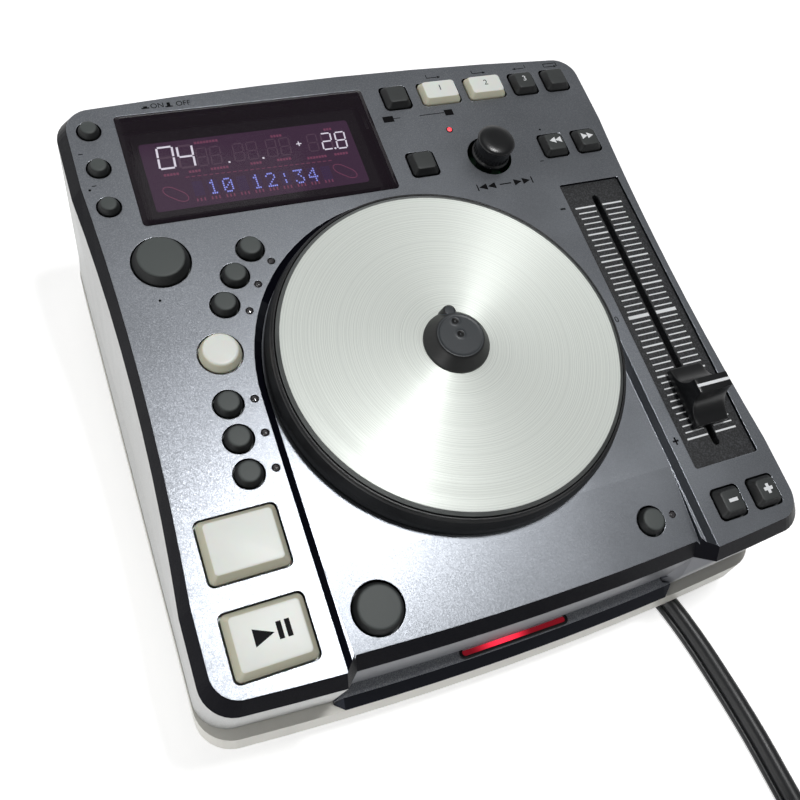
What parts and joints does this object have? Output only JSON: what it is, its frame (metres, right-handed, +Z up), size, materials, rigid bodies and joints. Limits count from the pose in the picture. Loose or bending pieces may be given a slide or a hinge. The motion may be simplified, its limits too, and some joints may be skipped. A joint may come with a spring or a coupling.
{
  "type": "tabletop dj cd player",
  "caption": "Wedge-shaped tabletop disc player with a jog wheel, a long pitch fader, a display, push keys, a push encoder and a front disc slot.",
  "frame": {"origin": "on the table, under the middle of the case", "axes": "+Z up, -Y towards the user, +X to the user's right"},
  "size_m": [0.2166, 0.471, 0.0978],
  "materials": {
    "case_silver": "fine metallic silver paint, satin",
    "deck_paint": "dark silver metallic paint, satin",
    "fascia_dark": "dark grey, fine grain",
    "light_red": "translucent red, smooth",
    "lens_tint": "dark tinted acrylic, polished",
    "display_dark": "fluorescent display glass",
    "plate_black": "black, fine moulded grain",
    "steel": "bright zinc",
    "board_green": "solder mask",
    "transformer_iron": "varnished laminations",
    "panel_black": "black powder coat",
    "jack_gold": "gold flash",
    "foot_rubber": "matte rubber",
    "led_red": "clear red, smooth",
    "bearing_brass": "turned",
    "chassis_steel": "zinc-plated sheet",
    "cord_black": "soft vinyl, satin",
    "plug_black": "moulded vinyl, satin",
    "key_grey": "dark grey rubberised plastic",
    "key_ivory": "ivory, half gloss",
    "key_black": "black, fine satin",
    "knob_black": "black, satin",
    "jog_black": "black, satin",
    "jog_metal": "brushed and clear-coated",
    "jog_rubber": "dark rubber"
  },
  "bodies": {
    "console": {"base_tray": "case_silver", "side_case": "case_silver", "top_cover": "deck_paint", "front_fascia": "fascia_dark", "light_bar": "light_red", "display_lens": "lens_tint", "display_module": "display_dark", "fader_plate": "plate_black", "fader_track": "steel", "main_board": "board_green", "control_boards": "board_green", "power_supply": "transformer_iron", "rear_panel": "panel_black", "rear_jacks": "jack_gold", "rubber_feet": "foot_rubber", "indicator_leds": "led_red", "jog_bearing": "bearing_brass", "mech_chassis": "chassis_steel", "spindle_motor": "steel", "strain_relief": "cord_black", "mains_cord": "cord_black", "cord_coil": "cord_black", "mains_plug": "plug_black"},
    "title_key": {"title_key": "key_grey"},
    "memo_key": {"memo_key": "key_grey"},
    "time_key": {"time_key": "key_grey"},
    "tap_key": {"tap_key": "key_grey"},
    "echo_key": {"echo_key": "key_grey"},
    "flanger_key": {"flanger_key": "key_grey"},
    "filter_key": {"filter_key": "key_grey"},
    "disc_mode_key": {"disc_mode_key": "key_ivory"},
    "drag_key": {"drag_key": "key_grey"},
    "brake_key": {"brake_key": "key_grey"},
    "reverse_key": {"reverse_key": "key_grey"},
    "cue_key": {"cue_key": "key_ivory"},
    "play_key": {"play_key": "key_ivory"},
    "eject_key": {"eject_key": "key_grey"},
    "pitch_key": {"pitch_key": "key_grey"},
    "bend_minus_key": {"bend_minus_key": "key_black"},
    "bend_plus_key": {"bend_plus_key": "key_black"},
    "jump_back_key": {"jump_back_key": "key_black"},
    "jump_forward_key": {"jump_forward_key": "key_black"},
    "next_track_key": {"next_track_key": "key_black"},
    "flip_key": {"flip_key": "key_black"},
    "hot_1_key": {"hot_1_key": "key_ivory"},
    "hot_2_key": {"hot_2_key": "key_ivory"},
    "b_key": {"b_key": "key_black"},
    "exit_key": {"exit_key": "key_black"},
    "encoder_shaft": {"encoder_shaft": "steel"},
    "encoder_knob": {"encoder_knob": "knob_black"},
    "fader": {"fader_cap": "knob_black", "fader_carriage": "steel"},
    "jog": {"jog_wheel": "jog_black", "jog_plate": "jog_metal", "jog_cap": "jog_rubber", "jog_shaft": "steel"},
    "power_button": {"power_button": "knob_black"},
    "spindle": {"spindle_hub": "knob_black"},
    "sled": {"pickup_sled": "knob_black"},
    "roller": {"feed_roller": "foot_rubber"}
  },
  "joints": [
    {"name": "title_press", "type": "slide", "parent": "console", "child": "title_key", "axis": [0, 0.165, -0.9863], "range_m": [0, 0.0007], "stiffness_N_per_m": 400, "springref_m": -0.002},
    {"name": "memo_press", "type": "slide", "parent": "console", "child": "memo_key", "axis": [0, 0.165, -0.9863], "range_m": [0, 0.0007], "stiffness_N_per_m": 400, "springref_m": -0.002},
    {"name": "time_press", "type": "slide", "parent": "console", "child": "time_key", "axis": [0, 0.165, -0.9863], "range_m": [0, 0.0007], "stiffness_N_per_m": 400, "springref_m": -0.002},
    {"name": "tap_press", "type": "slide", "parent": "console", "child": "tap_key", "axis": [0, 0.165, -0.9863], "range_m": [0, 0.0007], "stiffness_N_per_m": 400, "springref_m": -0.002},
    {"name": "echo_press", "type": "slide", "parent": "console", "child": "echo_key", "axis": [0, 0.165, -0.9863], "range_m": [0, 0.0007], "stiffness_N_per_m": 400, "springref_m": -0.002},
    {"name": "flanger_press", "type": "slide", "parent": "console", "child": "flanger_key", "axis": [0, 0.165, -0.9863], "range_m": [0, 0.0007], "stiffness_N_per_m": 400, "springref_m": -0.002},
    {"name": "filter_press", "type": "slide", "parent": "console", "child": "filter_key", "axis": [0, 0.165, -0.9863], "range_m": [0, 0.0007], "stiffness_N_per_m": 400, "springref_m": -0.002},
    {"name": "disc_mode_press", "type": "slide", "parent": "console", "child": "disc_mode_key", "axis": [0, 0.165, -0.9863], "range_m": [0, 0.0007], "stiffness_N_per_m": 400, "springref_m": -0.002},
    {"name": "drag_press", "type": "slide", "parent": "console", "child": "drag_key", "axis": [0, 0.165, -0.9863], "range_m": [0, 0.0007], "stiffness_N_per_m": 400, "springref_m": -0.002},
    {"name": "brake_press", "type": "slide", "parent": "console", "child": "brake_key", "axis": [0, 0.165, -0.9863], "range_m": [0, 0.0007], "stiffness_N_per_m": 400, "springref_m": -0.002},
    {"name": "reverse_press", "type": "slide", "parent": "console", "child": "reverse_key", "axis": [0, 0.165, -0.9863], "range_m": [0, 0.0007], "stiffness_N_per_m": 400, "springref_m": -0.002},
    {"name": "cue_press", "type": "slide", "parent": "console", "child": "cue_key", "axis": [0, 0.165, -0.9863], "range_m": [0, 0.001], "stiffness_N_per_m": 700, "springref_m": -0.002},
    {"name": "play_press", "type": "slide", "parent": "console", "child": "play_key", "axis": [0, 0.165, -0.9863], "range_m": [0, 0.001], "stiffness_N_per_m": 700, "springref_m": -0.002},
    {"name": "eject_press", "type": "slide", "parent": "console", "child": "eject_key", "axis": [0, 0.165, -0.9863], "range_m": [0, 0.0007], "stiffness_N_per_m": 400, "springref_m": -0.002},
    {"name": "pitch_press", "type": "slide", "parent": "console", "child": "pitch_key", "axis": [0, 0.165, -0.9863], "range_m": [0, 0.0007], "stiffness_N_per_m": 400, "springref_m": -0.002},
    {"name": "bend_minus_press", "type": "slide", "parent": "console", "child": "bend_minus_key", "axis": [0, 0.165, -0.9863], "range_m": [0, 0.0007], "stiffness_N_per_m": 400, "springref_m": -0.002},
    {"name": "bend_plus_press", "type": "slide", "parent": "console", "child": "bend_plus_key", "axis": [0, 0.165, -0.9863], "range_m": [0, 0.0007], "stiffness_N_per_m": 400, "springref_m": -0.002},
    {"name": "jump_back_press", "type": "slide", "parent": "console", "child": "jump_back_key", "axis": [0, 0.165, -0.9863], "range_m": [0, 0.0007], "stiffness_N_per_m": 400, "springref_m": -0.002},
    {"name": "jump_forward_press", "type": "slide", "parent": "console", "child": "jump_forward_key", "axis": [0, 0.165, -0.9863], "range_m": [0, 0.0007], "stiffness_N_per_m": 400, "springref_m": -0.002},
    {"name": "next_track_press", "type": "slide", "parent": "console", "child": "next_track_key", "axis": [0, 0.165, -0.9863], "range_m": [0, 0.0007], "stiffness_N_per_m": 400, "springref_m": -0.002},
    {"name": "flip_press", "type": "slide", "parent": "console", "child": "flip_key", "axis": [0, 0.165, -0.9863], "range_m": [0, 0.0007], "stiffness_N_per_m": 400, "springref_m": -0.002},
    {"name": "hot_1_press", "type": "slide", "parent": "console", "child": "hot_1_key", "axis": [0, 0.165, -0.9863], "range_m": [0, 0.0007], "stiffness_N_per_m": 400, "springref_m": -0.002},
    {"name": "hot_2_press", "type": "slide", "parent": "console", "child": "hot_2_key", "axis": [0, 0.165, -0.9863], "range_m": [0, 0.0007], "stiffness_N_per_m": 400, "springref_m": -0.002},
    {"name": "b_press", "type": "slide", "parent": "console", "child": "b_key", "axis": [0, 0.165, -0.9863], "range_m": [0, 0.0007], "stiffness_N_per_m": 400, "springref_m": -0.002},
    {"name": "exit_press", "type": "slide", "parent": "console", "child": "exit_key", "axis": [0, 0.165, -0.9863], "range_m": [0, 0.0007], "stiffness_N_per_m": 400, "springref_m": -0.002},
    {"name": "encoder_push", "type": "slide", "parent": "console", "child": "encoder_shaft", "axis": [0, 0.165, -0.9863], "range_m": [0, 0.0005], "stiffness_N_per_m": 600, "springref_m": -0.002},
    {"name": "encoder_turn", "type": "hinge", "parent": "encoder_shaft", "child": "encoder_knob", "pos_m": [0.048, 0.05887, 0.09239], "axis": [0, -0.165, 0.9863], "continuous": true},
    {"name": "pitch_slide", "type": "slide", "parent": "console", "child": "fader", "axis": [0, 0.9863, 0.165], "range_m": [-0.0142, 0.0858]},
    {"name": "jog_turn", "type": "hinge", "parent": "console", "child": "jog", "pos_m": [0, -0.01793, 0.07447], "axis": [0, -0.165, 0.9863], "continuous": true},
    {"name": "power_press", "type": "slide", "parent": "console", "child": "power_button", "axis": [0, -1, 0], "range_m": [0, 0.003], "stiffness_N_per_m": 300, "springref_m": -0.002},
    {"name": "spindle_turn", "type": "hinge", "parent": "console", "child": "spindle", "pos_m": [0, -0.0242, 0.022], "axis": [0, 0, 1], "continuous": true},
    {"name": "sled_slide", "type": "slide", "parent": "console", "child": "sled", "axis": [0, 1, 0], "range_m": [0, 0.034]},
    {"name": "roller_turn", "type": "hinge", "parent": "console", "child": "roller", "pos_m": [0, -0.0877, 0.021], "axis": [1, 0, 0], "continuous": true}
  ]
}
